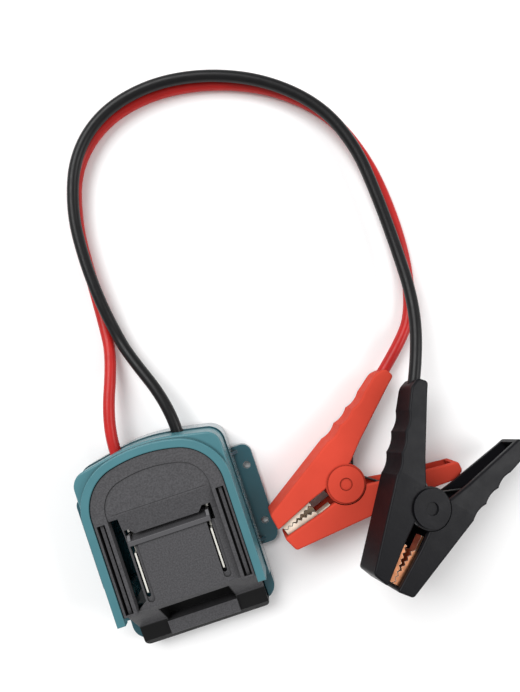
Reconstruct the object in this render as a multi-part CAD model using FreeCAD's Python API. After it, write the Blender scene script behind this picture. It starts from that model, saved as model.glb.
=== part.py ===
import FreeCAD, Part
import math
import os

V = FreeCAD.Vector

# Adapter body, seen from the battery side. X runs across it, Y towards the cables,
# and Z up from the middle of its flat rear face.
rear_half_width = 39.6
rear_bottom_y = -50.5
rear_top_y = 52.5
top_lean = 11.3
top_radius = 84.0
top_corner = 9.0
bottom_corner = 8.0
seam_height = 15.5
frame_step = 0.8
rim_height = 33.6
rim_rise = 3.0
frame_bottom_y = -31.9
body_wall = 2.2
rear_floor = 2.4
frame_flange = 2.0
foot_height = 9.0
foot_start_y = -36.0
foot_width = 5.0
case_round = 1.5
flat_round = 1.0
rim_round = 0.6
slide_round = 0.3
frame_half_width = rear_half_width - frame_step
frame_flat_height = rim_height - rim_rise

# How far a cutting block reaches past what it cuts.
beyond = 80.0

# The domed rim of the frame, and the black slide plate that it surrounds. Both are
# offsets of one outline, and so is the sunk panel.
dome_inset = 1.1
dome_lean = 15.0
dome_corner = 27.0
rim_width = 4.3
slide_fit = 0.2
panel_width = 7.2
band_sink = 1.0
field_depth = 3.4
slide_flange = 1.5
slide_flange_height = 1.3
panel_depth = 0.7
panel_line_y = 20.9
ramp_start_y = -28.4
ramp_end_y = -41.2
lip_z = 14.6
lip_bottom_y = -53.0
lip_corner = 2.6
lip_depth = 3.8
ramp_thickness = 3.2
dome_top_y = rear_top_y - frame_step - dome_inset
slide_inset = rim_width + slide_fit
slide_half_width = frame_half_width - slide_inset
panel_half_width = slide_half_width - panel_width
slide_band_z = rim_height - band_sink
field_z = slide_band_z - field_depth
slide_bottom_z = frame_flat_height - frame_flange - slide_fit / 2 - slide_flange_height

# Battery rails and the openings of the slide plate.
rail_rib = 1.9
rail_groove_width = 4.0
rail_groove_depth = 0.8
rail_strip_width = 1.7
rail_strip_drop = 1.6
rail_top_y = 18.8
rail_bottom_y = -27.4
channel_width = 4.9
channel_top_y = 19.3
channel_bottom_y = -28.0
channel_chamfer = 3.4
latch_half_width = 18.6
latch_top_y = -31.8
latch_bottom_y = -42.8
latch_floor_z = 5.6
latch_wall = 1.6
bevel_half_width = 19.0
bevel_height = 1.3

# Terminals.
blade_x = 20.1
blade_thickness = 0.9
blade_tip_y = -21.8
blade_length = 36.0
blade_height = 10.0
blade_sink = 0.9
blade_shoulder = 4.3
blade_step = 3.0
blade_fit = 0.05
blade_slot_width = 2.3
blade_slot_end_y = -23.4
blade_pad_width = 3.9
blade_pad_end_y = -26.2
blade_pad_depth = 0.8
carrier_half_width = 21.6
carrier_front_y = 3.9
carrier_depth = 5.4
carrier_rise = 1.1
carrier_bar = 2.4
carrier_pocket_depth = 6.9
carrier_base_thickness = 2.5
carrier_base_side = 1.6
carrier_base_front_y = -27.6
carrier_base_tail = 2.0
carrier_fit = 0.15
carrier_screw_x = 9.5
carrier_screw_y = -14.0
notch_length = 3.1
notch_width = 2.4
notch_spread = 2.6
notch_side = 2.1
blade_top_z = field_z - blade_sink
blade_bottom_z = blade_top_z - blade_height
blade_tail_y = blade_tip_y + blade_length
carrier_back_y = carrier_front_y + carrier_depth
carrier_top_z = field_z + carrier_rise
carrier_pocket_z = field_z - carrier_pocket_depth
carrier_base_top_z = blade_bottom_z - 0.1
carrier_base_bottom_z = carrier_base_top_z - carrier_base_thickness
carrier_base_half_width = blade_x + blade_thickness / 2 + blade_fit + carrier_base_side
carrier_base_back_y = carrier_back_y + carrier_base_tail

# Screws: shank radius, head radius, head height.
screw_shank = 1.25
screw_head = 2.5
screw_head_height = 1.8
screw_clearance = 0.25
boss_radius = 3.3
boss_web = 2.0
post_radius = 4.4
post_inset = 8.6
low_post_inset = 7.0
post_top_y = 35.5
post_low_y = -22.0
screw_tip_gap = 1.2
counterbore_depth = 3.6
post_positions = [
    (post_inset - rear_half_width, post_top_y),
    (rear_half_width - post_inset, post_top_y),
    (low_post_inset - rear_half_width, post_low_y),
    (rear_half_width - low_post_inset, post_low_y),
]

# Mounting ears on the rear shell.
ear_reach = 10.2
ear_top_y = 31.3
ear_bottom_y = -23.6
ear_thickness = 4.0
ear_corner = 5.0
ear_hole_radius = 2.1
ear_hole_margin = 4.7
ear_hole_y = (19.8, -11.7)
ear_gusset = 3.0

# Cables, their exits and what holds them inside the adapter.
cable_diameter = 6.2
core_diameter = 3.6
exit_x = 17.0
exit_z = seam_height
exit_start_y = 50.0
exit_fit = 0.15
bar_gap = 0.1
bar_seat_depth = 3.2
saddle_inset = 12.0
saddle_depth = 4.5
saddle_half_width = 22.0
bar_height = 5.3
bar_screw_x = 6.5
lead_end_y = 27.0
lug_length = 9.0
lug_wall = 0.9
lug_tab = 1.0
lug_tab_rise = 0.9
lug_tab_height = 5.0
saddle_y = rear_top_y - saddle_inset

# Clamps, in their own frame: X from the nose to the handles, Z along the pivot.
clamp_width = 20.0
clamp_end_width = 14.8
taper_start_x = 8.0
clamp_wall = 2.4
clamp_round = 1.0
nose_x = -41.5
nose_height = 11.2
nose_edge_y = 2.7
jaw_edge_y = 4.2
window_front_x = -19.0
window_back_x = -11.2
scallop_start = (5.6, 22.6)
scallop_end = (36.4, 30.9)
scallop_count = 3
scallop_depth = 1.1
heel = (47.7, 34.9)
handle_tip = (53.4, 33.6)
handle_toe = (54.6, 28.2)
handle_inner = (49.0, 25.9)
handle_elbow = (20.0, 12.9)
handle_root = (8.6, 7.0)
hub_radius = 10.4
hub_gap = 0.4
lap_outer = 1.1
lap_gap = 0.3
pin_radius = 3.2
pin_bore = 2.3
pin_fit = 0.06
lever_fit = 0.3
cap_radius = 9.4
cap_height = 1.3
dimple_radius = 3.3
dimple_depth = 0.9
cap_spigot = 3.0
jaw_base_y = 5.0
jaw_metal = 1.2
jaw_half_depth = 7.3
jaw_start_x = -39.0
jaw_tooth_pitch = 2.8
jaw_tooth_height = 1.2
jaw_gap = 0.4
jaw_closed_length = 5.0
jaw_flare = 0.15
jaw_tail_half_width = 3.0
jaw_tail_x = -3.5
crimp_radius = 3.2
crimp_length = 8.0
crimp_y = jaw_base_y + jaw_metal + crimp_radius
handle_bore_angle = 21.3
handle_bore = (53.5, 32.4)
handle_bore_length = 12.0
lead_route = [(36.0, 25.58), (18.0, 16.4), (7.0, crimp_y)]
spring_radius = 5.0
spring_wire = 1.3
spring_turns = 4
spring_half_height = 3.9
spring_foot = (21.5, 22.2)

# Where each clamp lies: pivot, heading, and how far its handles dip and it rolls.
clamps = {
    "red": {"pivot": (90.9, -2.6, 12.15), "heading": 18.8, "dip": 4.8, "roll": 0.0},
    "black": {"pivot": (123.14, -21.76, 33.2), "heading": 41.7, "dip": 13.0, "roll": 6.0},
}

# The free cables' routes, from the adapter to the clamps.
red_route = [
    (-17.0, 50.0, 15.5),
    (-17.0, 64.28, 15.5),
    (-5.07, 98.23, 7.6),
    (-4.38, 116.38, 3.4),
    (-3.06, 144.43, 3.3),
    (-1.6, 172.04, 3.3),
    (7.32, 201.92, 3.3),
    (30.1, 221.6, 3.3),
    (61.19, 227.77, 3.3),
    (95.11, 222.19, 3.3),
    (124.92, 208.28, 3.3),
    (148.17, 185.96, 3.3),
    (159.68, 156.66, 3.3),
    (163.04, 124.81, 3.3),
    (161.84, 94.75, 3.3),
    (155.2, 69.4, 3.5),
    (144.26, 56.51, 6.31),
    (130.94, 45.26, 7.67),
]
black_route = [
    (17.0, 50.0, 15.5),
    (17.0, 65.09, 15.5),
    (4.39, 96.21, 9.8),
    (1.3, 108.47, 7.8),
    (-1.08, 127.75, 10.2),
    (-2.19, 153.04, 10.2),
    (-0.0, 179.02, 10.2),
    (10.38, 205.88, 10.2),
    (31.12, 223.39, 10.2),
    (60.21, 229.78, 10.2),
    (91.15, 225.25, 10.2),
    (120.52, 211.84, 10.2),
    (143.62, 189.88, 10.2),
    (154.27, 163.44, 10.2),
    (156.7, 134.83, 10.2),
    (157.49, 105.81, 10.8),
    (156.1, 76.9, 15.2),
    (148.96, 52.87, 21.44),
    (141.2, 37.49, 24.46),
]


def corner_arc(before, corner, after):
    """The arc that leaves the line to a corner at one point and joins the next line at another."""
    chord_middle = (before + after) * 0.5
    weight = (before - chord_middle).Length / max((before - corner).Length, 1e-9)
    middle = (chord_middle + corner * weight) * (1.0 / (1.0 + weight))
    return Part.Arc(before, middle, after).toShape()


def rounded_wire(points, radii, closed=True):
    """Straight runs through the points, with a tangent arc of its own radius at each."""
    count = len(points)
    starts, ends, arcs = [], [], []
    for i, corner in enumerate(points):
        radius = radii[i]
        open_end = not closed and i in (0, count - 1)
        if radius <= 0 or open_end:
            starts.append(corner)
            ends.append(corner)
            arcs.append(None)
            continue
        to_last = (points[i - 1] - corner).normalize()
        to_next = (points[(i + 1) % count] - corner).normalize()
        turn = math.pi - to_last.getAngle(to_next)
        reach = radius * math.tan(turn / 2)
        starts.append(corner + to_last * reach)
        ends.append(corner + to_next * reach)
        arcs.append(corner_arc(starts[-1], corner, ends[-1]))
    edges = []
    for i in range(count):
        if arcs[i] is not None:
            edges.append(arcs[i])
        if i == count - 1 and not closed:
            break
        following = starts[(i + 1) % count]
        if (following - ends[i]).Length > 1e-6:
            edges.append(Part.LineSegment(ends[i], following).toShape())
    return Part.Wire(edges)


def flat(points, z=0.0):
    return [V(x, y, z) for x, y in points]


def prism(points, low, high, radii=None):
    """A solid that stands on a rounded polygon in the XY plane."""
    radii = radii or [0.0] * len(points)
    face = Part.Face(rounded_wire(flat(points, low), radii))
    return face.extrude(V(0, 0, high - low))


def bar(points, low, high):
    """A solid with the given outline in the YZ plane, along X from low to high."""
    corners = [V(low, y, z) for y, z in points]
    face = Part.Face(rounded_wire(corners, [0.0] * len(corners)))
    return face.extrude(V(high - low, 0, 0))


def box(x0, x1, y0, y1, z0, z1):
    return Part.makeBox(x1 - x0, y1 - y0, z1 - z0, V(x0, y0, z0))


def rod(radius, start, end):
    start, end = V(*start), V(*end)
    return Part.makeCylinder(radius, (end - start).Length, start, end - start)


def edges_at(shape, z):
    """The edges that lie flat at one height."""
    return [e for e in shape.Edges
            if abs(e.BoundBox.ZMin - z) < 1e-4 and abs(e.BoundBox.ZMax - z) < 1e-4]


def join(shapes):
    result = shapes[0]
    if len(shapes) > 1:
        result = result.fuse(shapes[1:])
    return result.removeSplitter()


def export(name, shape, copies=1):
    solids = shape.Solids
    if len(solids) != copies:
        raise ValueError(name + " has " + str(len(solids)) + " solids")
    result = solids[0] if len(solids) == 1 else Part.makeCompound(solids)
    for solid in solids:
        if not solid.isValid():
            raise ValueError(name + " has an invalid solid")
    result.exportStep("parts/" + name + ".step")
    print(name, len(solids), "solid(s)", round(sum(s.Volume for s in solids), 1), "mm3")


def crowned(half_width, top_y, bottom_y, lean, corner, crown, low, high, foot=0.0):
    """A plate with straight sides, round corners and a top that rises to the middle."""
    tilt = math.radians(lean)
    apex_y = top_y + crown * (1 / math.cos(tilt) - 1)
    corner_y = apex_y - half_width * math.tan(tilt)
    points = [
        (-half_width, bottom_y),
        (half_width, bottom_y),
        (half_width, corner_y),
        (0.0, apex_y),
        (-half_width, corner_y),
    ]
    return prism(points, low, high, [foot, foot, corner, crown, corner])


def body_outline(inset, low, high):
    """The outline of the adapter's rear, or of what is set in from it by an even step."""
    return crowned(rear_half_width - inset, rear_top_y - inset, rear_bottom_y + inset,
                   top_lean, top_corner - inset, top_radius - inset, low, high,
                   bottom_corner - inset)


def dome(inset, bottom_y, low, high):
    """The frame's domed outline, or one set in from it by an even step."""
    tilt = math.radians(dome_lean)
    run = frame_half_width / math.cos(tilt)
    crown = (run - dome_corner * math.tan((math.pi / 2 - tilt) / 2)) / math.tan(tilt)
    return crowned(frame_half_width - inset, dome_top_y - inset, bottom_y, dome_lean,
                   dome_corner - inset, crown - inset, low, high)


def cable_bores(radius, y0, y1):
    return [rod(radius, (x, y0, exit_z), (x, y1, exit_z)) for x in (-exit_x, exit_x)]


def rear_shell():
    shell = body_outline(0.0, 0.0, seam_height)
    shell = shell.makeFillet(case_round, edges_at(shell, 0.0))
    inner = body_outline(body_wall, rear_floor, seam_height + 1)
    foot_inner = rear_half_width - foot_width
    inner = inner.cut(box(-beyond, -foot_inner, -beyond, foot_start_y, 0, beyond))
    inner = inner.cut(box(foot_inner, beyond, -beyond, foot_start_y, 0, beyond))
    shell = shell.cut(inner)
    shell = shell.cut(box(-beyond, beyond, -beyond, foot_start_y, foot_height, beyond))
    shell = shell.cut(box(-foot_inner, foot_inner, -beyond, foot_start_y, rear_floor, beyond))
    pieces = [shell]
    for side in (-1, 1):
        x0 = rear_half_width - body_wall
        x1 = rear_half_width + ear_reach
        points = [
            (side * x0, ear_bottom_y),
            (side * x1, ear_bottom_y),
            (side * x1, ear_top_y),
            (side * x0, ear_top_y),
        ]
        if side < 0:
            points.reverse()
        radii = [0.0, ear_corner, ear_corner, 0.0]
        pieces.append(prism(points, 0.0, ear_thickness, radii))
        for y in (ear_bottom_y + ear_gusset, ear_top_y - ear_gusset):
            wedge = [
                V(side * (rear_half_width - 0.5), y - 0.8, ear_thickness),
                V(side * (rear_half_width + ear_gusset), y - 0.8, ear_thickness),
                V(side * (rear_half_width - 0.5), y - 0.8, ear_thickness + ear_gusset),
            ]
            pieces.append(Part.Face(rounded_wire(wedge, [0.0] * 3)).extrude(V(0, 1.6, 0)))
    for x, y in post_positions:
        pieces.append(rod(post_radius, (x, y, 0), (x, y, seam_height)))
    saddle = box(-saddle_half_width, saddle_half_width, saddle_y - saddle_depth / 2,
                 saddle_y + saddle_depth / 2, rear_floor - 0.5, exit_z)
    pieces.append(saddle)
    shell = join(pieces)
    cuts = cable_bores(cable_diameter / 2 + exit_fit, saddle_y - 6, rear_top_y + 3)
    for x, y in post_positions:
        cuts.append(rod(screw_shank + screw_clearance, (x, y, -1), (x, y, seam_height + 1)))
        cuts.append(rod(screw_head + screw_clearance, (x, y, -1), (x, y, counterbore_depth)))
    ear_hole_x = rear_half_width + ear_reach - ear_hole_margin
    for side in (-1, 1):
        for y in ear_hole_y:
            cuts.append(rod(ear_hole_radius, (side * ear_hole_x, y, -1), (side * ear_hole_x, y, 9)))
        x = side * bar_screw_x
        cuts.append(rod(screw_shank, (x, saddle_y, exit_z - 8), (x, saddle_y, exit_z + 1)))
    return shell.cut(cuts).removeSplitter()


def front_frame():
    frame = body_outline(frame_step, seam_height, frame_flat_height)
    frame = frame.makeFillet(flat_round, edges_at(frame, frame_flat_height))
    frame = frame.fuse(dome(0.0, frame_bottom_y, seam_height, rim_height))
    inner = body_outline(frame_step + body_wall, seam_height - 1,
                         frame_flat_height - frame_flange)
    frame = frame.cut(inner)
    frame = frame.cut(dome(rim_width, -60, seam_height - 1, rim_height + 1))
    frame = frame.cut(box(-beyond, beyond, -beyond, frame_bottom_y, 0, beyond))
    pieces = [frame]
    wall_x = frame_half_width - body_wall / 2
    for x, y in post_positions:
        pieces.append(rod(boss_radius, (x, y, seam_height), (x, y, slide_bottom_z)))
        near, far = sorted((x, math.copysign(wall_x, x)))
        pieces.append(box(near, far, y - boss_web / 2, y + boss_web / 2, seam_height, slide_bottom_z))
    frame = join(pieces)
    cuts = cable_bores(cable_diameter / 2 + exit_fit, saddle_y + 4, rear_top_y + 3)
    for x, y in post_positions:
        tip = slide_bottom_z - screw_tip_gap / 2
        cuts.append(rod(screw_shank, (x, y, seam_height - 1), (x, y, tip)))
    frame = frame.cut(cuts).removeSplitter()
    return frame.makeFillet(rim_round, edges_at(frame, rim_height))


def battery_slide():
    plate = dome(slide_inset, ramp_start_y, slide_bottom_z, slide_band_z)
    under = lip_z - ramp_thickness
    ramp = bar([
        (ramp_start_y + 2, field_z),
        (ramp_start_y + 2, slide_bottom_z),
        (ramp_start_y + 0.5, slide_bottom_z),
        (ramp_end_y + 1.0, under),
        (lip_bottom_y + ramp_thickness, lip_z - lip_depth),
        (lip_bottom_y + ramp_thickness, rear_floor + slide_fit),
        (lip_bottom_y, rear_floor + slide_fit),
        (lip_bottom_y, lip_z - 3.4),
        (lip_bottom_y + 3.0, lip_z - 0.9),
        (ramp_end_y, lip_z),
        (ramp_start_y, field_z),
    ], -slide_half_width, slide_half_width)
    ramp = ramp.common(prism([
        (-slide_half_width, lip_bottom_y),
        (slide_half_width, lip_bottom_y),
        (slide_half_width, beyond),
        (-slide_half_width, beyond),
    ], 0, beyond, [lip_corner, lip_corner, 0.0, 0.0]))
    bevel = bar([
        (lip_bottom_y + 1.6, lip_z - 2.6),
        (lip_bottom_y + 3.2, lip_z + bevel_height - 0.6),
        (latch_bottom_y, lip_z + bevel_height),
        (latch_bottom_y, lip_z - 2.6),
    ], -bevel_half_width, bevel_half_width)
    flange = dome(slide_inset - slide_flange, ramp_start_y + 2, slide_bottom_z,
                  slide_bottom_z + slide_flange_height)
    fall = (field_z - lip_z) / (ramp_start_y - ramp_end_y)
    back_y = latch_top_y + latch_wall
    pocket = bar([
        (latch_bottom_y - latch_wall, latch_floor_z - latch_wall),
        (latch_bottom_y - latch_wall, under + 0.6),
        (ramp_end_y, lip_z - 0.5),
        (back_y, lip_z + (back_y - ramp_end_y) * fall - 0.5),
        (back_y, latch_floor_z - latch_wall),
    ], -latch_half_width - latch_wall, latch_half_width + latch_wall)
    slide = join([plate, flange, ramp, bevel, pocket])
    above = slide_band_z + 5
    channel_x = -panel_half_width
    channel = prism([
        (channel_x, channel_bottom_y),
        (channel_x + channel_width, channel_bottom_y + channel_chamfer),
        (channel_x + channel_width, channel_top_y),
        (channel_x, channel_top_y),
    ], 0, above)
    cuts = [
        box(-panel_half_width, panel_half_width, ramp_start_y - 1, carrier_back_y, field_z, above),
        bar([(carrier_back_y, field_z), (panel_line_y, slide_band_z - panel_depth),
             (panel_line_y, above), (carrier_back_y, above)], -panel_half_width, panel_half_width),
        dome(slide_inset + panel_width, panel_line_y, slide_band_z - panel_depth, above),
        channel,
        box(-carrier_half_width - carrier_fit, carrier_half_width + carrier_fit,
            carrier_front_y - carrier_fit, carrier_back_y + carrier_fit, 0, above),
        box(-latch_half_width, latch_half_width, latch_bottom_y, latch_top_y,
            latch_floor_z, above),
    ]
    groove_z = field_z - rail_groove_depth
    strip_z = slide_band_z - rail_strip_drop
    for side in (-1, 1):
        near = panel_half_width + rail_rib
        far = near + rail_groove_width
        recess = box(near, far, rail_bottom_y, rail_top_y, groove_z, above)
        margin = (rail_groove_width - rail_strip_width) / 2
        strip = box(near + margin, far - margin, rail_bottom_y - 1, rail_top_y + 1,
                    groove_z - 1, strip_z)
        recess = recess.cut(strip)
        end = carrier_half_width + carrier_fit
        notch = prism([
            (end, carrier_back_y),
            (end, carrier_back_y + notch_length),
            (end - notch_width, carrier_back_y + notch_length),
            (end - notch_width - notch_spread, carrier_back_y),
        ], 0, above)
        if side < 0:
            recess = recess.mirror(V(0, 0, 0), V(1, 0, 0))
            notch = notch.mirror(V(0, 0, 0), V(1, 0, 0))
        cuts += [recess, notch]
        if side > 0:
            cuts.append(box(end - 0.5, end + notch_side, carrier_front_y,
                            carrier_back_y + notch_length, 0, above))
        x = side * blade_x
        half = blade_slot_width / 2
        cuts.append(box(x - half, x + half, blade_slot_end_y + half, carrier_front_y, 0, above))
        cuts.append(rod(half, (x, blade_slot_end_y + half, 0), (x, blade_slot_end_y + half, above)))
        half = blade_pad_width / 2
        pad_x = x + half - blade_slot_width / 2
        pad_y = blade_pad_end_y + half
        pad_z = field_z - blade_pad_depth
        cuts.append(box(pad_x - half, pad_x + half, pad_y, carrier_front_y, pad_z, above))
        cuts.append(rod(half, (pad_x, pad_y, pad_z), (pad_x, pad_y, above)))
    for tool in cuts:
        slide = slide.cut(tool)
    posts = [slide]
    for side in (-1, 1):
        spot = (side * carrier_screw_x, carrier_screw_y)
        posts.append(rod(boss_radius, (*spot, carrier_base_top_z + 0.05), (*spot, field_z - 1)))
    slide = join(posts)
    holes = []
    for side in (-1, 1):
        spot = (side * carrier_screw_x, carrier_screw_y)
        holes.append(rod(screw_shank, (*spot, 10), (*spot, slide_bottom_z)))
    slide = slide.cut(holes).removeSplitter()
    top = [e for e in edges_at(slide, slide_band_z) if e.CenterOfMass.y > ramp_start_y + 1]
    return slide.makeFillet(slide_round, top)


def terminal_carrier():
    base = box(-carrier_base_half_width, carrier_base_half_width, carrier_base_front_y,
               carrier_base_back_y, carrier_base_bottom_z, carrier_base_top_z)
    ridge = bar([
        (carrier_front_y, carrier_base_top_z - 0.5),
        (carrier_front_y, carrier_top_z),
        (carrier_front_y + carrier_bar, carrier_top_z),
        (carrier_front_y + carrier_bar + 0.6, carrier_top_z - 2.5),
        (carrier_back_y, carrier_pocket_z),
        (carrier_back_y, carrier_base_top_z - 0.5),
    ], -carrier_half_width, carrier_half_width)
    rib = bar([
        (carrier_front_y + carrier_bar - 0.2, carrier_pocket_z - 2),
        (carrier_front_y + carrier_bar - 0.2, carrier_top_z - 0.6),
        (carrier_back_y, field_z - 0.8),
        (carrier_back_y, carrier_pocket_z - 2),
    ], -0.8, 0.8)
    pieces = [base, ridge]
    for side in (-1, 1):
        x = side * (carrier_half_width - 0.8)
        pieces.append(rib.translated(V(x, 0, 0)))
    carrier = join(pieces)
    cuts = []
    for side in (-1, 1):
        half = blade_thickness / 2 + blade_fit
        x = side * blade_x
        cuts.append(box(x - half, x + half, carrier_front_y - 1, carrier_back_y + 1,
                        carrier_base_top_z, blade_top_z - blade_step + blade_fit))
        spot = (side * carrier_screw_x, carrier_screw_y)
        cuts.append(rod(screw_shank + screw_clearance, (*spot, 0), (*spot, beyond)))
    carrier = carrier.cut(cuts).removeSplitter()
    return carrier.makeFillet(slide_round, edges_at(carrier, carrier_top_z))


def blade(side):
    x = side * blade_x
    tip = 1.2
    outline = [
        V(x - blade_thickness / 2, blade_tip_y, blade_bottom_z),
        V(x - blade_thickness / 2, blade_tail_y, blade_bottom_z),
        V(x - blade_thickness / 2, blade_tail_y, blade_bottom_z + 6.0),
        V(x - blade_thickness / 2, carrier_back_y, blade_bottom_z + 6.0 - 2.4),
        V(x - blade_thickness / 2, carrier_front_y + carrier_bar, blade_top_z - blade_step),
        V(x - blade_thickness / 2, carrier_front_y - blade_shoulder + 0.5, blade_top_z - blade_step),
        V(x - blade_thickness / 2, carrier_front_y - blade_shoulder, blade_top_z),
        V(x - blade_thickness / 2, blade_tip_y, blade_top_z),
    ]
    radii = [tip, 0.0, 0.0, 0.0, 0.0, 0.0, 0.0, tip]
    return Part.Face(rounded_wire(outline, radii)).extrude(V(blade_thickness, 0, 0))


def screw(x, y, head_z, tip_z):
    """A countersunk-free pan head with a cross recess, its head at the lower end."""
    body = rod(screw_shank - 0.02, (x, y, head_z), (x, y, tip_z))
    head = rod(screw_head, (x, y, head_z), (x, y, head_z + screw_head_height))
    body = body.fuse(head)
    slot = 0.5
    depth = 0.8
    reach = 1.5
    for a, b in ((reach, slot / 2), (slot / 2, reach)):
        body = body.cut(box(x - a, x + a, y - b, y + b, head_z - 0.1, head_z + depth))
    return body.removeSplitter()


def shell_screws():
    top = slide_bottom_z - screw_tip_gap
    low = counterbore_depth - screw_head_height
    return Part.makeCompound([screw(x, y, low, top) for x, y in post_positions])


def carrier_screws():
    low = carrier_base_bottom_z - screw_head_height
    spots = [(side * carrier_screw_x, carrier_screw_y) for side in (-1, 1)]
    return Part.makeCompound([screw(x, y, low, slide_bottom_z - 1.5) for x, y in spots])


def clamp_bar():
    low = exit_z + bar_gap
    body = box(-saddle_half_width, saddle_half_width, saddle_y - saddle_depth / 2,
               saddle_y + saddle_depth / 2, low, low + bar_height)
    body = body.cut(cable_bores(cable_diameter / 2 + exit_fit, saddle_y - 9, saddle_y + 9))
    for side in (-1, 1):
        x = side * bar_screw_x
        body = body.cut(rod(screw_shank + screw_clearance, (x, saddle_y, 0), (x, saddle_y, 40)))
        seat = low + bar_seat_depth
        body = body.cut(rod(screw_head + screw_clearance, (x, saddle_y, seat), (x, saddle_y, 40)))
    return body.removeSplitter()


def clamp_bar_screws():
    seat = exit_z + bar_gap + bar_seat_depth
    found = []
    for side in (-1, 1):
        x = side * bar_screw_x
        spot = screw(0, 0, 0, seat + screw_head_height - (exit_z - 7))
        spot.rotate(V(0, 0, 0), V(1, 0, 0), 180)
        spot.translate(V(x, saddle_y, seat + screw_head_height))
        found.append(spot)
    return Part.makeCompound(found)


def inner_lead(side):
    x = side * exit_x
    cover = rod(cable_diameter / 2, (x, lead_end_y, exit_z), (x, exit_start_y, exit_z))
    core = rod(core_diameter / 2, (x, lead_end_y - lug_length + 2.5, exit_z),
               (x, lead_end_y + 1, exit_z))
    return cover.fuse(core).removeSplitter()


def lug(side):
    x = side * exit_x
    back = lead_end_y - 0.1
    front = back - lug_length
    barrel = rod(core_diameter / 2 + lug_wall, (x, front, exit_z), (x, back, exit_z))
    tab_x = side * (blade_x + blade_thickness / 2)
    tab_end = tab_x + side * lug_tab
    low = blade_bottom_z + lug_tab_rise
    high = low + lug_tab_height
    tab = box(min(tab_x, tab_end), max(tab_x, tab_end), carrier_back_y + 0.5, front + 1.5, low, high)
    web = box(min(x, tab_end), max(x, tab_end), front, front + 1.5, exit_z - 1.5, high)
    piece = join([barrel, tab, web])
    bore = rod(core_diameter / 2 + 0.03, (x, front + 2.2, exit_z), (x, back + 1, exit_z))
    return piece.cut(bore).removeSplitter()


def taper(width, end_width):
    """What a clamp half keeps of its full width as it narrows towards the handle's end."""
    end_x = handle_toe[0] + 2.0
    points = [
        V(-beyond, -beyond, -width / 2),
        V(taper_start_x, -beyond, -width / 2),
        V(end_x, -beyond, -end_width / 2),
        V(end_x, -beyond, end_width / 2),
        V(taper_start_x, -beyond, width / 2),
        V(-beyond, -beyond, width / 2),
    ]
    return Part.Face(rounded_wire(points, [0.0] * 6)).extrude(V(0, 2 * beyond, 0))


def half_outline(inset):
    """The side view of the upper half of a clamp, closed along its inner edge."""
    first, last = V(*scallop_start, 0), V(*scallop_end, 0)
    normal = V(-(last - first).y, (last - first).x, 0).normalize()
    lower = normal * inset
    step = (last - first) * (1.0 / scallop_count)
    nose_top = V(nose_x + 1.2, nose_height, 0)
    heel_point = V(*heel, 0)
    tip, toe = V(*handle_tip, 0), V(*handle_toe, 0)
    edges = []
    spine = [nose_top, first]
    for i in range(scallop_count):
        a, b = first + step * i, first + step * (i + 1)
        edges.append(Part.Arc(a, (a + b) * 0.5 - normal * scallop_depth, b).toShape())
        spine.append(b)
    ends = [heel_point, tip, toe, V(*handle_inner, 0), V(*handle_elbow, 0), V(*handle_root, 0),
            V(0.0, jaw_edge_y, 0), V(window_back_x, jaw_edge_y, 0), V(window_front_x, jaw_edge_y, 0),
            V(nose_x, nose_edge_y, 0)]
    radii = [6.0, 2.4, 2.0, 4.0, 30.0, 4.0, 0.0, 0.0, 0.0, 1.0]
    return edges, spine, ends, radii, lower


def half_body():
    """The upper half's solid block, before it is hollowed."""
    edges, spine, ends, radii, lower = half_outline(0.0)
    nose_top, first, last = spine[0], spine[1], spine[-1]
    points = [last] + ends + [nose_top, first]
    open_radii = [0.0] + radii + [2.0, 0.0]
    around = rounded_wire(points, open_radii, closed=False)
    wire = Part.Wire(Part.__sortEdges__(list(around.Edges) + edges))
    face = Part.Face(wire)
    block = face.extrude(V(0, 0, clamp_width + 4))
    block.translate(V(0, 0, -clamp_width / 2 - 2))
    block = block.common(taper(clamp_width, clamp_end_width))
    rounded = []
    for e in block.Edges:
        across = e.BoundBox.ZLength > 3 and abs(e.Length - e.BoundBox.ZLength) < 0.5
        middle = e.CenterOfMass
        outside = middle.y > jaw_base_y + 4 or middle.x < nose_x + 0.5 or middle.x > handle_inner[0] - 1
        if outside and not across:
            rounded.append(e)
    return block.makeFillet(clamp_round, rounded)


def half_cavity():
    """The hollow inside the upper half, open along its inner edge."""
    wall = clamp_wall
    slope = V(scallop_start[0] - nose_x - 1.2, scallop_start[1] - nose_height, 0)
    drop = wall * slope.Length / slope.x
    inner_nose = nose_x + wall - 0.4
    points = [
        (inner_nose, nose_height - drop + 0.2),
        (scallop_start[0], scallop_start[1] - drop),
        (scallop_end[0], scallop_end[1] - drop - scallop_depth),
        (heel[0], heel[1] - drop - 0.6),
        (handle_tip[0] - wall, handle_tip[1] - drop + 0.4),
        (handle_toe[0] - wall, handle_toe[1] - 8.0),
        (handle_toe[0] - wall, -6.0),
        (inner_nose, -6.0),
    ]
    hollow = prism(points, -clamp_width / 2, clamp_width / 2, [0.0] * len(points))
    return hollow.common(taper(clamp_width - 2 * wall, clamp_end_width - 2 * wall))


def clamp_half(outer_lap):
    """One moulded half. Its hub is the outer or the inner of the two that the pin goes through."""
    half = clamp_width / 2
    split = half - lap_outer
    body = half_body().cut(half_cavity())
    clear = hub_radius + hub_gap
    if outer_lap:
        body = body.cut(rod(clear, (0, 0, -split), (0, 0, split)))
        low, high = split, half
    else:
        body = body.cut(rod(clear, (0, 0, split - lap_gap), (0, 0, half + 1)))
        body = body.cut(rod(clear, (0, 0, -half - 1), (0, 0, -split + lap_gap)))
        low, high = half - clamp_wall, split - lap_gap
    bore = pin_radius + (pin_fit if outer_lap else lever_fit)
    hubs = [body]
    for side in (-1, 1):
        hubs.append(rod(hub_radius, (0, 0, side * low), (0, 0, side * high)))
    body = join(hubs)
    reach = half + 1
    return body.cut(rod(bore, (0, 0, -reach), (0, 0, reach)))


def mirrored(shape):
    return shape.mirror(V(0, 0, 0), V(0, 1, 0))


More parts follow.
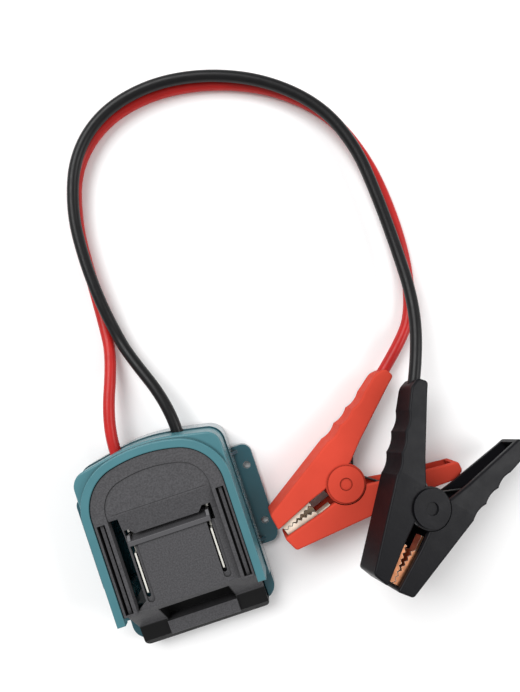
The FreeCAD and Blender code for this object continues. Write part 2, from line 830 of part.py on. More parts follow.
def tooth_wave(x):
    """How high the meeting line of the two jaws stands at x, a triangle wave."""
    phase = ((x - jaw_start_x) / jaw_tooth_pitch) % 1.0
    return jaw_tooth_height * (abs(phase - 0.5) * 2 - 0.5)


def tooth_line(x, sign):
    """One jaw's tooth edge. The jaws meet at the tip and lie further apart behind it."""
    behind = max(0.0, x - jaw_start_x - jaw_closed_length)
    return tooth_wave(x) + sign * (jaw_gap / 2 + jaw_flare * behind)


def jaw(upper):
    """A folded strip with two toothed rails and a tail. The lower jaw's teeth fit the upper's."""
    sign = 1 if upper else -1
    end_x = window_front_x - 0.6
    count = int((end_x - jaw_start_x) / (jaw_tooth_pitch / 2))
    teeth = []
    for i in range(count + 1):
        x = jaw_start_x + i * jaw_tooth_pitch / 2
        teeth.append((x, tooth_line(x, sign)))
    last_x = teeth[-1][0]
    base = sign * jaw_base_y
    outline = [(jaw_start_x, base)] + teeth + [(last_x, base)]
    side_plate = Part.Face(rounded_wire(flat(outline, 0.0), [0.0] * len(outline)))
    pieces = []
    for z in (-jaw_half_depth, jaw_half_depth - jaw_metal):
        rail = side_plate.extrude(V(0, 0, jaw_metal))
        rail.translate(V(0, 0, z))
        pieces.append(rail)
    low, high = sorted((base, base + sign * jaw_metal))
    pieces.append(box(jaw_start_x, last_x, low, high, -jaw_half_depth, jaw_half_depth))
    low_rail, high_rail = sorted((base - sign * 0.3, base))
    for z in (-jaw_half_depth, jaw_half_depth - jaw_metal):
        pieces.append(box(jaw_start_x, last_x, low_rail, high_rail, z, z + jaw_metal))
    if upper:
        tail = jaw_tail_half_width
        pieces.append(box(last_x, jaw_tail_x - crimp_length + 2, low, high, -tail, tail))
    else:
        tail = jaw_tail_half_width
        pieces.append(box(last_x, window_back_x - 1.5, low, high, -tail, tail))
    return join(pieces)


def pivot_pin():
    half = clamp_width / 2
    pin = rod(pin_radius, (0, 0, -half), (0, 0, half))
    return pin.cut(rod(pin_bore, (0, 0, -half - 1), (0, 0, half + 1)))


def pivot_caps():
    caps = []
    half = clamp_width / 2
    for side in (-1, 1):
        outer = side * (half + cap_height)
        cap = rod(cap_radius, (0, 0, side * half), (0, 0, outer))
        cap = cap.fuse(rod(pin_bore - 0.03, (0, 0, side * (half - cap_spigot)), (0, 0, side * half)))
        dimple = rod(dimple_radius, (0, 0, outer - side * dimple_depth), (0, 0, outer + side))
        caps.append(cap.cut(dimple).removeSplitter())
    return Part.makeCompound(caps)


def arc_pair(start, along, end, towards):
    """Two tangent arcs from one point and direction to another."""
    gap = end - start
    total = along + towards
    spread = 2 * (1 - along.dot(towards))
    if spread < 1e-9:
        reach = gap.dot(gap) / (2 * gap.dot(total))
    else:
        root = gap.dot(total) ** 2 + 2 * spread * gap.dot(gap)
        reach = (-gap.dot(total) + math.sqrt(root)) / spread
    first = start + along * (reach / 2)
    second = end - towards * (reach / 2)
    middle = (first + second) * 0.5
    return [corner_arc(start, first, middle), corner_arc(middle, second, end)]


def torsion_spring(name):
    """Even turns round the pin, each end running out to press under one handle's spine."""
    foot = math.hypot(*spring_foot)
    bearing = math.atan2(spring_foot[1], spring_foot[0])
    lean = math.acos(spring_radius / foot)
    start_angle = -bearing + lean
    end_angle = bearing - lean + 2 * math.pi * spring_turns
    rise = 2 * spring_half_height

    def on_coil(angle):
        share = (angle - start_angle) / (end_angle - start_angle)
        z = -spring_half_height + rise * share
        return V(spring_radius * math.cos(angle), spring_radius * math.sin(angle), z)

    def heading(angle):
        climb = rise / (end_angle - start_angle)
        return V(-spring_radius * math.sin(angle), spring_radius * math.cos(angle), climb).normalize()

    leg = math.sqrt(foot**2 - spring_radius**2)
    steps = spring_turns * 4
    angles = [start_angle + (end_angle - start_angle) * i / steps for i in range(steps + 1)]
    edges = []
    first, last = on_coil(angles[0]), on_coil(angles[-1])
    edges.append(Part.LineSegment(first - heading(angles[0]) * leg, first).toShape())
    for a, b in zip(angles, angles[1:]):
        edges += arc_pair(on_coil(a), heading(a), on_coil(b), heading(b))
    edges.append(Part.LineSegment(last, last + heading(angles[-1]) * leg).toShape())
    path = Part.Wire(edges)
    profile = Part.Wire(Part.Circle(first - heading(angles[0]) * leg, heading(angles[0]),
                                    spring_wire / 2).toShape())
    points = [on_coil(start_angle + (end_angle - start_angle) * i / 400) for i in range(401)]
    turn = 400 / ((end_angle - start_angle) / (2 * math.pi))
    least = min((p - q).Length for i, p in enumerate(points)
                for j, q in enumerate(points) if j - i > turn * 0.6)
    print(name, "turns", round((end_angle - start_angle) / (2 * math.pi), 2),
          "least gap to itself", round(least - spring_wire, 2), "mm")
    return path.makePipeShell([profile], True, False)


def tube(route, diameter, name, limit):
    """A round cord along straight runs joined by arcs as large as the runs allow."""
    points = [V(*p) for p in route]
    radii = [0.0] * len(points)
    for i in range(1, len(points) - 1):
        before, after = points[i] - points[i - 1], points[i + 1] - points[i]
        turn = before.getAngle(after)
        radii[i] = 0.45 * min(before.Length, after.Length) / math.tan(turn / 2)
    path = rounded_wire(points, radii, closed=False)
    first = (points[1] - points[0]).normalize()
    profile = Part.Wire(Part.Circle(points[0], first, diameter / 2).toShape())
    solid = path.makePipeShell([profile], True, False)
    expected = math.pi * diameter**2 / 4 * path.Length
    print(name, "length", round(path.Length, 1), "least radius", round(min(radii[1:-1]), 1),
          "of at least", limit, "volume share", round(solid.Volume / expected, 4))
    return solid


def handle_route():
    route = [(*handle_bore, 0.0)] + [(x, y, 0.0) for x, y in lead_route]
    return route + [(jaw_tail_x + 0.1, crimp_y, 0.0)]


def handle_lead(name):
    return tube(handle_route(), cable_diameter, name, 2 * cable_diameter)


def crimp():
    outer = rod(crimp_radius, (jaw_tail_x - crimp_length, crimp_y, 0), (jaw_tail_x, crimp_y, 0))
    flat_bottom = box(-60, 60, crimp_y - crimp_radius, crimp_y - crimp_radius + 0.3, -20, 20)
    bore = rod(core_diameter / 2, (jaw_tail_x - crimp_length + 1.5, crimp_y, 0),
               (jaw_tail_x + 1, crimp_y, 0))
    return outer.cut(flat_bottom).cut(bore).removeSplitter()


def placement(lie):
    turn = FreeCAD.Rotation(V(0, 0, 1), lie["heading"])
    turn = turn * FreeCAD.Rotation(V(0, 1, 0), lie["dip"])
    turn = turn * FreeCAD.Rotation(V(1, 0, 0), lie["roll"])
    return FreeCAD.Placement(V(*lie["pivot"]), turn)


def build_adapter():
    export("rear_shell", rear_shell())
    export("front_frame", front_frame())
    export("battery_slide", battery_slide())
    export("terminal_carrier", terminal_carrier())
    export("positive_blade", blade(-1))
    export("negative_blade", blade(1))
    export("shell_screws", shell_screws(), len(post_positions))
    export("carrier_screws", carrier_screws(), 2)
    export("cable_clamp_bar", clamp_bar())
    export("clamp_bar_screws", clamp_bar_screws(), 2)
    export("positive_lug", lug(-1))
    export("negative_lug", lug(1))
    export("red_inner_lead", inner_lead(-1))
    export("black_inner_lead", inner_lead(1))


def build_clamp(colour, lie):
    place = placement(lie)
    bore_end = V(*handle_bore, 0)
    angle = math.radians(handle_bore_angle)
    along = V(math.cos(angle), math.sin(angle), 0)
    bore_radius = cable_diameter / 2 + exit_fit
    start = bore_end - along * (handle_bore_length / 2)
    bore = Part.makeCylinder(bore_radius, handle_bore_length, start, along)
    groove = tube(handle_route(), 2 * bore_radius, colour + " handle groove", 2 * cable_diameter)
    cable_half = clamp_half(True).cut(bore).cut(groove).removeSplitter()
    lever_half = mirrored(clamp_half(False)).removeSplitter()
    pieces = {
        "cable_handle": cable_half,
        "lever_handle": lever_half,
        "cable_jaw": jaw(True),
        "lever_jaw": jaw(False),
        "pivot_pin": pivot_pin(),
        "pivot_caps": pivot_caps(),
        "torsion_spring": torsion_spring(colour + " torsion spring"),
        "handle_lead": handle_lead(colour + " handle lead"),
        "crimp": crimp(),
    }
    for name, shape in pieces.items():
        shape.Placement = place.multiply(shape.Placement)
        export(colour + "_" + name, shape, 2 if name == "pivot_caps" else 1)
    end = place.multVec(bore_end)
    way = place.Rotation.multVec(along)
    print(colour, "cable ends at", [round(c, 1) for c in end], "leaving along",
          [round(c, 3) for c in way])
    axis = place.Rotation.multVec(V(0, 0, 1))
    print(colour, "pivot axis", [round(c, 5) for c in axis])


def main():
    os.makedirs("parts", exist_ok=True)
    build_adapter()
    for colour, lie in clamps.items():
        build_clamp(colour, lie)
    least = 5 * cable_diameter
    export("red_cable", tube(red_route, cable_diameter, "red cable", least))
    export("black_cable", tube(black_route, cable_diameter, "black cable", least))


main()
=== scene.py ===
"""Looks of a slide-on battery adapter with a red and a black clamp cable on a pale floor."""

import math

import bpy
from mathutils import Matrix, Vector


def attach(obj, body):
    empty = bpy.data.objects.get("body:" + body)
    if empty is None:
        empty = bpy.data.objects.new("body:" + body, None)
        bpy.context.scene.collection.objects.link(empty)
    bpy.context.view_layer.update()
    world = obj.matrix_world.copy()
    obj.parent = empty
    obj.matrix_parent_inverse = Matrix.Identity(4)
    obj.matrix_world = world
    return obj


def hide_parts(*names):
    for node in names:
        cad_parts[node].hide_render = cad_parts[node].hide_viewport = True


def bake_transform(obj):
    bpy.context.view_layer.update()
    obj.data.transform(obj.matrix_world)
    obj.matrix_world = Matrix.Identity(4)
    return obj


bl_info = {
    "name": "Battery Adapter Cable",
    "version": (1, 0, 0),
    "blender": (4, 5, 0),
    "location": "View3D > Sidebar > Adapter Cable",
    "description": "Finishes a battery adapter with two clamp cables, its floor, lights and camera",
    "category": "Object",
}

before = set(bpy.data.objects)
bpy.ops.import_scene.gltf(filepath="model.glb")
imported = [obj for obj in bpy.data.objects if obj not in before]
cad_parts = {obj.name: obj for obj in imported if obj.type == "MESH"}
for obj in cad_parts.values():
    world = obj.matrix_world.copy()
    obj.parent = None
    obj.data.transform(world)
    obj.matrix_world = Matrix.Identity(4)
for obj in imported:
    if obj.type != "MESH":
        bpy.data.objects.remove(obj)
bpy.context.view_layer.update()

# Where the camera hangs over the floor, in metres, and how far the picture is turned.
CAMERA_PLACE = (0.07229, 0.07871, 0.333)
PICTURE_TURN = 18.4

# Places on the battery slide that get painted shade, in metres: the crease where its top starts to
# fall and how far it runs to each side, the top, front and inner ends of the lip, the latch recess,
# and its pockets.
CREASE_Y = 0.0218
CREASE_HALF_WIDTH = 0.0250
LIP_TOP_Y = -0.0416
LIP_FRONT_Y = -0.05045
LIP_MIDDLE_HALF_WIDTH = 0.0191
LATCH_TOP_Y = -0.03185
LATCH_BOTTOM_Y = -0.042775
POCKET_Z = 0.0280
POCKET_BOTTOM_Y = -0.0282

# The floor's half side and the strength of the light from all round.
FLOOR_REACH = 6.0
AIR_STRENGTH = 0.45

# The cables lie along these points, from the adapter's wall to each clamp, in metres.
RED_ROUTE = [
    (-0.017, 0.05, 0.0155),
    (-0.017, 0.06428, 0.0155),
    (-0.00507, 0.09823, 0.0076),
    (-0.00438, 0.11638, 0.0034),
    (-0.00306, 0.14443, 0.0033),
    (-0.0016, 0.17204, 0.0033),
    (0.00732, 0.20192, 0.0033),
    (0.0301, 0.2216, 0.0033),
    (0.06119, 0.22777, 0.0033),
    (0.09511, 0.22219, 0.0033),
    (0.12492, 0.20828, 0.0033),
    (0.14817, 0.18596, 0.0033),
    (0.15968, 0.15666, 0.0033),
    (0.16304, 0.12481, 0.0033),
    (0.16184, 0.09475, 0.0033),
    (0.1552, 0.0694, 0.0035),
    (0.14426, 0.05651, 0.00631),
    (0.13094, 0.04526, 0.00767),
]
BLACK_ROUTE = [
    (0.017, 0.05, 0.0155),
    (0.017, 0.06509, 0.0155),
    (0.00439, 0.09621, 0.0098),
    (0.0013, 0.10847, 0.0078),
    (-0.00108, 0.12775, 0.0102),
    (-0.00219, 0.15304, 0.0102),
    (-0.0, 0.17902, 0.0102),
    (0.01038, 0.20588, 0.0102),
    (0.03112, 0.22339, 0.0102),
    (0.06021, 0.22978, 0.0102),
    (0.09115, 0.22525, 0.0102),
    (0.12052, 0.21184, 0.0102),
    (0.14362, 0.18988, 0.0102),
    (0.15427, 0.16344, 0.0102),
    (0.1567, 0.13483, 0.0102),
    (0.15749, 0.10581, 0.0108),
    (0.1561, 0.0769, 0.0152),
    (0.14896, 0.05287, 0.02144),
    (0.1412, 0.03749, 0.02446),
]


def colour(default, title, words):
    return bpy.props.FloatVectorProperty(
        name=title, description=words, subtype="COLOR", size=3, min=0.0, max=1.0, default=default
    )


class AdapterColours(bpy.types.PropertyGroup):
    case: colour((0.060, 0.185, 0.215), "Front frame", "Satin teal plastic of the front frame")
    # Painted shade: the rear shell is the same teal plastic as the front frame, its colour painted
    # darker for how its glossy finish looks darker.
    shell: colour((0.020, 0.088, 0.112), "Rear shell", "Glossy teal plastic of the rear shell")
    slide: colour((0.066, 0.065, 0.069), "Slide", "Black plastic of the battery slide")
    cable_red: colour((0.45, 0.016, 0.014), "Red cable", "Silicone cover of the red cable")
    cable_black: colour((0.006, 0.006, 0.0065), "Black cable", "Silicone cover of the black cable")
    clamp_red: colour((0.60, 0.065, 0.039), "Red clamp", "Plastic of the red clamp")
    clamp_black: colour((0.0075, 0.0075, 0.009), "Black clamp", "Plastic of the black clamp")
    jaw: colour((0.62, 0.26, 0.13), "Jaws", "Copper plating of the jaws")
    # Copper of the red clamp's jaws, painted paler as a painted highlight standing in for the glare
    # on their teeth.
    jaw_glare: colour((1.0, 0.87, 0.71), "Pale jaws", "Paler plating of the red clamp's jaws")
    contact: colour((0.97, 0.95, 0.87), "Contacts", "Plating of the contact blades and lugs")
    steel: colour((0.60, 0.60, 0.60), "Steel", "Screws, pins and springs")
    floor: colour((0.95, 0.95, 0.95), "Floor", "Plain floor under the part")


class AdapterSizes(bpy.types.PropertyGroup):
    cable_diameter: bpy.props.FloatProperty(
        name="Cable diameter", description="Outside diameter of each cable",
        default=0.0062, min=0.002, max=0.02, subtype="DISTANCE", unit="LENGTH",
    )
    lens: bpy.props.FloatProperty(
        name="Lens", description="Focal length of the camera",
        default=31.53, min=10.0, max=200.0, subtype="DISTANCE_CAMERA",
    )
    key_power: bpy.props.FloatProperty(
        name="Key light", description="Power of the large overhead lamp",
        default=14.0, min=0.0, max=1000.0, subtype="POWER", unit="POWER",
    )
    fill_power: bpy.props.FloatProperty(
        name="Fill light", description="Power of the side lamp",
        default=4.5, min=0.0, max=1000.0, subtype="POWER", unit="POWER",
    )
    edge_radius: bpy.props.FloatProperty(
        name="Edge radius", description="How softly moulded edges catch the light",
        default=0.0003, min=0.0, max=0.005, subtype="DISTANCE", unit="LENGTH",
    )


def colours():
    return bpy.context.scene.adapter_colours


def sizes():
    return bpy.context.scene.adapter_sizes


class Shader:
    """A new surface material and short ways to add nodes to it."""

    def __init__(self, name):
        self.material = bpy.data.materials.new(name)
        self.material.use_nodes = True
        self.tree = self.material.node_tree
        self.surface = self.tree.nodes["Principled BSDF"]
        self.place = self.add("ShaderNodeTexCoord").outputs["Object"]

    def add(self, kind, **settings):
        node = self.tree.nodes.new(kind)
        for key, value in settings.items():
            setattr(node, key, value)
        return node

    def link(self, out, into):
        self.tree.links.new(out, into)

    def noise(self, scale, detail=3.0, roughness=0.5, place=None):
        node = self.add("ShaderNodeTexNoise")
        node.inputs["Scale"].default_value = scale
        node.inputs["Detail"].default_value = detail
        node.inputs["Roughness"].default_value = roughness
        self.link(place or self.place, node.inputs["Vector"])
        return node.outputs["Fac"]

    def spread(self, value, low, high, start=0.3, end=0.7):
        """Goes from low to high while the value goes from start to end."""
        node = self.add("ShaderNodeMapRange")
        node.inputs["From Min"].default_value = start
        node.inputs["From Max"].default_value = end
        node.inputs["To Min"].default_value = low
        node.inputs["To Max"].default_value = high
        self.link(value, node.inputs["Value"])
        return node.outputs["Result"]

    def blend(self, share, first, second):
        node = self.add("ShaderNodeMix", data_type="RGBA")
        for socket, value in ((node.inputs["A"], first), (node.inputs["B"], second)):
            if isinstance(value, bpy.types.NodeSocket):
                self.link(value, socket)
            else:
                socket.default_value = (*value, 1.0)
        if isinstance(share, bpy.types.NodeSocket):
            self.link(share, node.inputs["Factor"])
        else:
            node.inputs["Factor"].default_value = share
        return node.outputs["Result"]

    def rounded(self, radius):
        node = self.add("ShaderNodeBevel", samples=4)
        node.inputs["Radius"].default_value = radius
        return node.outputs["Normal"]

    def edges(self, radius):
        """1 along convex and concave edges and 0 on flat faces."""
        round_normal = self.rounded(radius)
        plain = self.add("ShaderNodeNewGeometry").outputs["Normal"]
        dot = self.add("ShaderNodeVectorMath", operation="DOT_PRODUCT")
        self.link(round_normal, dot.inputs[0])
        self.link(plain, dot.inputs[1])
        return self.spread(dot.outputs["Value"], 1.0, 0.0, 0.75, 0.98)

    def crevice_shade(self, reach, start=0.25, end=0.85):
        """Painted shade: 1 deep in pockets and along inner corners, where shade falls, and 0 on
        open faces.
        """
        node = self.add("ShaderNodeAmbientOcclusion", samples=8)
        node.inputs["Distance"].default_value = reach
        return self.spread(node.outputs["AO"], 1.0, 0.0, start, end)

    def axis(self, name):
        """X, Y or Z in the part's frame."""
        if not hasattr(self, "split"):
            self.split = self.add("ShaderNodeSeparateXYZ")
            self.link(self.place, self.split.inputs["Vector"])
        return self.split.outputs[name]

    def maths(self, operation, first, second=0.0):
        node = self.add("ShaderNodeMath", operation=operation)
        for socket, value in zip(node.inputs, (first, second)):
            if isinstance(value, bpy.types.NodeSocket):
                self.link(value, socket)
            else:
                socket.default_value = value
        return node.outputs["Value"]

    def above(self, value, edge, soft):
        return self.spread(value, 0.0, 1.0, edge - soft, edge + soft)

    def below(self, value, edge, soft):
        return self.spread(value, 1.0, 0.0, edge - soft, edge + soft)

    def bump(self, height, distance, strength=1.0, normal=None):
        node = self.add("ShaderNodeBump")
        node.inputs["Strength"].default_value = strength
        node.inputs["Distance"].default_value = distance
        self.link(height, node.inputs["Height"])
        if normal is not None:
            self.link(normal, node.inputs["Normal"])
        return node.outputs["Normal"]


def shade(c, factor):
    return tuple(min(1.0, x * factor) for x in c)


def moulded(name, base, gloss, grain, depth, edge, speck=0.0, hollow=0.004, shine=0.5,
            patch=None, ior=1.5, coat=0.0, sheen=0.0):
    """Moulded plastic with fine grain, slightly uneven colour and gloss, soft edges, painted
    highlight or shade along its edges and painted shade in its hollows.

    gloss is its roughness, grain and depth are how fine and deep its grain is, edge is how much
    paler (painted highlight) or darker (painted shade) its edges are painted, speck how far its
    colour varies with the grain, hollow how wide the painted shade in pockets and inner corners
    reaches, and patch a function that gives where painted shade darkens it.
    """
    s = Shader(name)
    radius = sizes().edge_radius
    cloud = s.spread(s.noise(38.0, 4.0), 0.0, 1.0)
    body = s.blend(cloud, shade(base, 0.93), shade(base, 1.07))
    if speck:
        dots = s.spread(s.noise(grain, 2.0), 0.0, 1.0, 0.35, 0.65)
        body = s.blend(dots, shade(base, 1 - speck), shade(base, 1 + speck))
    # Painted highlight or painted shade: the edges are made paler or darker by the factor edge.
    body = s.blend(s.edges(radius * 1.6), body, shade(base, edge))
    # Painted shade where the patch function marks the part.
    if patch:
        body = s.blend(patch(s), body, shade(base, 0.06))
    # Painted shade in pockets and along inner corners.
    body = s.blend(s.crevice_shade(hollow), body, shade(base, 0.06))
    s.link(body, s.surface.inputs["Base Color"])
    s.link(s.spread(s.noise(160.0, 5.0), gloss - 0.04, gloss + 0.06), s.surface.inputs["Roughness"])
    s.surface.inputs["Specular IOR Level"].default_value = shine
    normal = s.bump(s.noise(grain, 4.0, 0.6), depth, 1.0, s.rounded(radius))
    s.link(normal, s.surface.inputs["Normal"])
    s.surface.inputs["IOR"].default_value = ior
    s.surface.inputs["Coat Weight"].default_value = coat
    s.surface.inputs["Coat IOR"].default_value = 1.6
    s.surface.inputs["Sheen Weight"].default_value = sheen
    s.surface.inputs["Sheen Roughness"].default_value = 0.2
    return s.material


def silicone(name, base, gloss):
    """Smooth silicone cover with faint flow marks and dust."""
    s = Shader(name)
    body = s.blend(s.spread(s.noise(120.0, 3.0), 0.0, 1.0), shade(base, 0.92), shade(base, 1.08))
    s.link(body, s.surface.inputs["Base Color"])
    s.link(s.spread(s.noise(300.0, 4.0), gloss - 0.04, gloss + 0.07), s.surface.inputs["Roughness"])
    s.link(s.bump(s.noise(900.0, 3.0), 0.00003), s.surface.inputs["Normal"])
    s.surface.inputs["IOR"].default_value = 1.43
    s.surface.inputs["Specular IOR Level"].default_value = 0.3
    return s.material


def plated(name, base, gloss, edge_highlight, brushed=1.0, stain=0.72, metal=1.0):
    """Plated metal with drawn lines, tarnish down to the share stain, edges painted in a paler
    highlight colour (painted highlight), and painted shade in its hollows.
    """
    s = Shader(name)
    stretch = s.add("ShaderNodeMapping")
    stretch.inputs["Scale"].default_value = (1.0, 1.0, 14.0 * brushed)
    s.link(s.place, stretch.inputs["Vector"])
    lines = s.noise(420.0, 4.0, 0.6, stretch.outputs["Vector"])
    tarnish = s.spread(s.noise(210.0, 4.0), 0.0, 1.0, 0.35, 0.65)
    body = s.blend(tarnish, shade(base, stain), base)
    # Painted highlight: the edges take the paler highlight colour.
    body = s.blend(s.edges(0.00025), body, edge_highlight)
    # Painted shade in pockets, tooth gaps and inner corners.
    body = s.blend(s.crevice_shade(0.003), body, shade(base, 0.05))
    s.link(body, s.surface.inputs["Base Color"])
    s.surface.inputs["Metallic"].default_value = metal
    s.link(s.spread(lines, gloss - 0.06, gloss + 0.12), s.surface.inputs["Roughness"])
    s.link(s.bump(lines, 0.00003, 1.0, s.rounded(0.0001)), s.surface.inputs["Normal"])
    return s.material


def give(node, material):
    """Puts one material on all of a node's slots."""
    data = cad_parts[node].data
    if not data.materials:
        data.materials.append(material)
    for i in range(len(data.materials)):
        data.materials[i] = material


class ADAPTER_OT_case(bpy.types.Operator):
    """Finishes the teal shell and front frame"""

    bl_idname = "adapter.case"
    bl_label = "Case"

    def execute(self, context):
        # Both teal finishes have edges painted paler, a painted highlight, and painted shade in
        # their hollows.
        satin = moulded(
            "satin_teal", colours().case, gloss=0.36, grain=900.0, depth=0.00003, edge=1.5,
            hollow=0.002, shine=0.4,
        )
        glossy = moulded(
            "glossy_teal", colours().shell, gloss=0.13, grain=500.0, depth=0.00001, edge=1.7,
            hollow=0.003, coat=0.2, sheen=0.25,
        )
        give("front_frame", satin)
        give("rear_shell", glossy)
        return {"FINISHED"}


def painted_shade_places(s):
    """Painted shade: 1 on the lip's ends and front, in the latch recess and the pockets, and less
    along the crease, where shade falls on the slide.
    """
    beside = s.maths("ABSOLUTE", s.axis("X"))
    along = s.axis("Y")
    lip_ends = s.above(beside, LIP_MIDDLE_HALF_WIDTH, 0.0002)
    latch = s.maths("MULTIPLY", s.below(along, LATCH_TOP_Y, 0.0001),
                    s.above(along, LATCH_BOTTOM_Y, 0.000075))
    latch = s.maths("MULTIPLY", latch, s.spread(lip_ends, 1.0, 0.0, 0.0, 1.0))
    pockets = s.maths("MULTIPLY", s.below(s.axis("Z"), POCKET_Z, 0.0002),
                      s.above(along, POCKET_BOTTOM_Y, 0.0002))
    crease = s.maths("ABSOLUTE", s.maths("SUBTRACT", along, CREASE_Y))
    crease = s.maths("MULTIPLY", s.spread(crease, 0.6, 0.0, 0.00010, 0.00022),
                     s.below(beside, CREASE_HALF_WIDTH, 0.0002))
    found = s.maths("MULTIPLY", s.below(along, LIP_TOP_Y, 0.0004), lip_ends)
    for place in (s.below(along, LIP_FRONT_Y, 0.00045), crease, latch, pockets):
        found = s.maths("MAXIMUM", found, place)
    return found


class ADAPTER_OT_slide(bpy.types.Operator):
    """Finishes the black battery slide and the terminal carrier"""

    bl_idname = "adapter.slide"
    bl_label = "Battery slide"

    def execute(self, context):
        # Painted shade in the slide's pockets, latch recess, crease, lip and hollows; its edges are
        # painted paler, a painted highlight.
        grained = moulded(
            "grained_plastic", colours().slide, gloss=0.5, grain=1300.0, depth=0.0001, edge=1.5,
            speck=0.2, hollow=0.006, shine=0.25, patch=painted_shade_places,
        )
        give("battery_slide", grained)
        smooth = moulded(
            "smooth_black_plastic", shade(colours().slide, 1.25), gloss=0.4, grain=900.0,
            depth=0.00004, edge=1.6, shine=0.3,
        )
        for node in ("terminal_carrier", "cable_clamp_bar"):
            give(node, smooth)
        return {"FINISHED"}


def wind_spring(side, finish):
    """A copy of a clamp's spring in the given finish, put in place of the model's spring."""
    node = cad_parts[side + "_torsion_spring"]
    spring = bpy.data.objects.new(side + "_wound_spring", node.data.copy())
    spring.matrix_world = node.matrix_world
    bpy.context.collection.objects.link(spring)
    spring.data.materials.clear()
    spring.data.materials.append(finish)
    for face in spring.data.polygons:
        face.material_index = 0
    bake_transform(spring)
    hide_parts(side + "_torsion_spring")


class ADAPTER_OT_contacts(bpy.types.Operator):
    """Finishes the contact blades, lugs, screws, pins and springs"""

    bl_idname = "adapter.contacts"
    bl_label = "Contacts and screws"

    def execute(self, context):
        # Each plating has a paler colour painted along its edges, a painted highlight, and painted
        # shade in its hollows.
        contact = plated(
            "contact_plating", colours().contact, gloss=0.45, edge_highlight=(1.0, 0.98, 0.93),
            stain=0.94, metal=0.6,
        )
        for node in ("positive_blade", "negative_blade", "positive_lug", "negative_lug"):
            give(node, contact)
        steel = plated(
            "zinc_steel", colours().steel, gloss=0.30, edge_highlight=(0.85, 0.85, 0.86), brushed=0.2,
        )
        dark_steel = plated(
            "oiled_steel", shade(colours().steel, 0.2), gloss=0.4, edge_highlight=(0.3, 0.3, 0.3),
            brushed=0.2,
        )
        for node in ("shell_screws", "carrier_screws", "clamp_bar_screws"):
            give(node, steel)
        for side in ("red", "black"):
            give(side + "_pivot_pin", steel)
            wind_spring(side, dark_steel)
        return {"FINISHED"}


class ADAPTER_OT_clamps(bpy.types.Operator):
    """Finishes both clamps with their jaws"""

    bl_idname = "adapter.clamps"
    bl_label = "Clamps"

    def execute(self, context):
        # The red clamp's edges are painted darker, a painted shade, and the black clamp's are
        # painted paler, a painted highlight; both get painted shade in their hollows.
        red = moulded(
            "red_clamp_plastic", colours().clamp_red, gloss=0.45, grain=700.0, depth=0.00005,
            edge=0.75, hollow=0.0025, shine=0.3, ior=1.08,
        )
        black = moulded(
            "black_clamp_plastic", colours().clamp_black, gloss=0.36, grain=700.0, depth=0.00005,
            edge=3.2, hollow=0.0025, shine=0.12,
        )
        # The red clamp's jaws get a paler copy of the copper, a painted highlight for the glare on
        # their teeth.
        glare_copper = plated(
            "glare_copper", colours().jaw_glare, gloss=0.42, edge_highlight=(1.0, 0.97, 0.9), brushed=0.3,
            metal=0.35,
        )
        bright_copper = plated(
            "bright_copper", colours().jaw, gloss=0.32, edge_highlight=(1.0, 0.90, 0.74), brushed=0.3,
            metal=0.9,
        )
        finishes = {"red": (red, glare_copper), "black": (black, bright_copper)}
        for side, (plastic, copper) in finishes.items():
            for part in ("cable_handle", "lever_handle", "pivot_caps"):
                give(side + "_" + part, plastic)
            for part in ("cable_jaw", "lever_jaw", "crimp"):
                give(side + "_" + part, copper)
        return {"FINISHED"}


def lay_cable(name, route, material, node):
    """One limp cable on a smooth line, in place of its plain solid."""
    data = bpy.data.curves.new(name, "CURVE")
    data.dimensions = "3D"
    line = data.splines.new("NURBS")
    line.points.add(len(route) - 1)
    for point, place in zip(line.points, route):
        point.co = (*place, 1.0)
    line.order_u = 3
    line.use_endpoint_u = True
    line.resolution_u = 12
    data.bevel_depth = sizes().cable_diameter / 2
    data.bevel_resolution = 8
    data.use_fill_caps = True
    data.materials.append(material)
    cable = bpy.data.objects.new(name, data)
    bpy.context.collection.objects.link(cable)
    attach(cable, "adapter")
    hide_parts(node)
    return cable


class ADAPTER_OT_cables(bpy.types.Operator):
    """Lays the red and the black cable and finishes their ends inside the part"""

    bl_idname = "adapter.cables"
    bl_label = "Cables"

    def execute(self, context):
        red = silicone("red_silicone", colours().cable_red, 0.32)
        black = silicone("black_silicone", colours().cable_black, 0.36)
        lay_cable("red_lead_line", RED_ROUTE, red, "red_cable")
        lay_cable("black_lead_line", BLACK_ROUTE, black, "black_cable")
        for node in ("red_inner_lead", "red_handle_lead"):
            give(node, red)
        for node in ("black_inner_lead", "black_handle_lead"):
            give(node, black)
        return {"FINISHED"}


def lamp(name, place, size, power, aim=(0.08, 0.09, 0.0)):
    """An area lamp aimed at the middle of the part."""
    data = bpy.data.lights.new(name, "AREA")
    data.shape = "RECTANGLE"
    data.size, data.size_y = size
    data.energy = power
    found = bpy.data.objects.new(name, data)
    found.location = place
    found.rotation_euler = (Vector(aim) - Vector(place)).to_track_quat("-Z", "Y").to_euler()
    bpy.context.collection.objects.link(found)
    return found


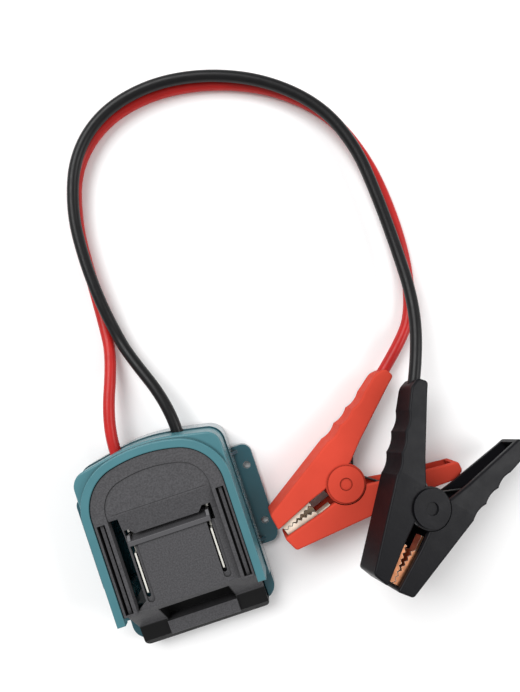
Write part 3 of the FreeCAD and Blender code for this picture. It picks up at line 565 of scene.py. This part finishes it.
class ADAPTER_OT_stage(bpy.types.Operator):
    """Adds the pale floor, the soft lamps and the camera straight overhead"""

    bl_idname = "adapter.stage"
    bl_label = "Floor, lights and camera"

    def execute(self, context):
        mesh = bpy.data.meshes.new("floor")
        r = FLOOR_REACH
        corners = [(-r, -r, 0), (r, -r, 0), (r, r, 0), (-r, r, 0)]
        mesh.from_pydata(corners, [], [(0, 1, 2, 3)])
        s = Shader("pale_floor")
        body = s.blend(s.noise(3.0), shade(colours().floor, 0.99), shade(colours().floor, 1.01))
        s.link(body, s.surface.inputs["Base Color"])
        s.surface.inputs["Roughness"].default_value = 0.8
        s.surface.inputs["Specular IOR Level"].default_value = 0.2
        mesh.materials.append(s.material)
        floor = bpy.data.objects.new("floor", mesh)
        bpy.context.collection.objects.link(floor)

        lamp("key_lamp", (-0.25, 0.75, 1.0), (0.9, 0.7), sizes().key_power)
        lamp("side_lamp", (0.9, -0.1, 0.7), (0.5, 0.5), sizes().fill_power)
        world = bpy.data.worlds.new("studio_air")
        world.use_nodes = True
        air = world.node_tree.nodes["Background"]
        air.inputs["Color"].default_value = (1, 1, 1, 1)
        air.inputs["Strength"].default_value = AIR_STRENGTH
        context.scene.world = world
        context.scene.view_settings.view_transform = "Standard"

        data = bpy.data.cameras.new("camera")
        data.lens = sizes().lens
        data.sensor_width = 36.0
        data.clip_start = 0.01
        camera = bpy.data.objects.new("camera", data)
        camera.location = CAMERA_PLACE
        camera.rotation_euler = (0.0, 0.0, -math.radians(PICTURE_TURN))
        context.collection.objects.link(camera)
        context.scene.camera = camera
        return {"FINISHED"}


class ADAPTER_PT_panel(bpy.types.Panel):
    """Lists the colours, sizes and pieces"""

    bl_idname = "ADAPTER_PT_panel"
    bl_label = "Battery Adapter Cable"
    bl_space_type = "VIEW_3D"
    bl_region_type = "UI"
    bl_category = "Adapter Cable"

    def draw(self, context):
        for group in (colours(), sizes()):
            column = self.layout.column()
            for name in group.__annotations__:
                column.prop(group, name)
        for operator in OPERATORS:
            self.layout.operator(operator.bl_idname)


OPERATORS = (
    ADAPTER_OT_stage,
    ADAPTER_OT_cables,
    ADAPTER_OT_case,
    ADAPTER_OT_slide,
    ADAPTER_OT_contacts,
    ADAPTER_OT_clamps,
)
CLASSES = (AdapterColours, AdapterSizes, *OPERATORS, ADAPTER_PT_panel)


def register():
    for item in CLASSES:
        bpy.utils.register_class(item)
    bpy.types.Scene.adapter_colours = bpy.props.PointerProperty(type=AdapterColours)
    bpy.types.Scene.adapter_sizes = bpy.props.PointerProperty(type=AdapterSizes)


def unregister():
    del bpy.types.Scene.adapter_sizes
    del bpy.types.Scene.adapter_colours
    for item in reversed(CLASSES):
        bpy.utils.unregister_class(item)


def main():
    register()
    bpy.ops.adapter.stage()
    bpy.ops.adapter.cables()
    bpy.ops.adapter.case()
    bpy.ops.adapter.slide()
    bpy.ops.adapter.contacts()
    bpy.ops.adapter.clamps()


if __name__ == "__main__":
    main()
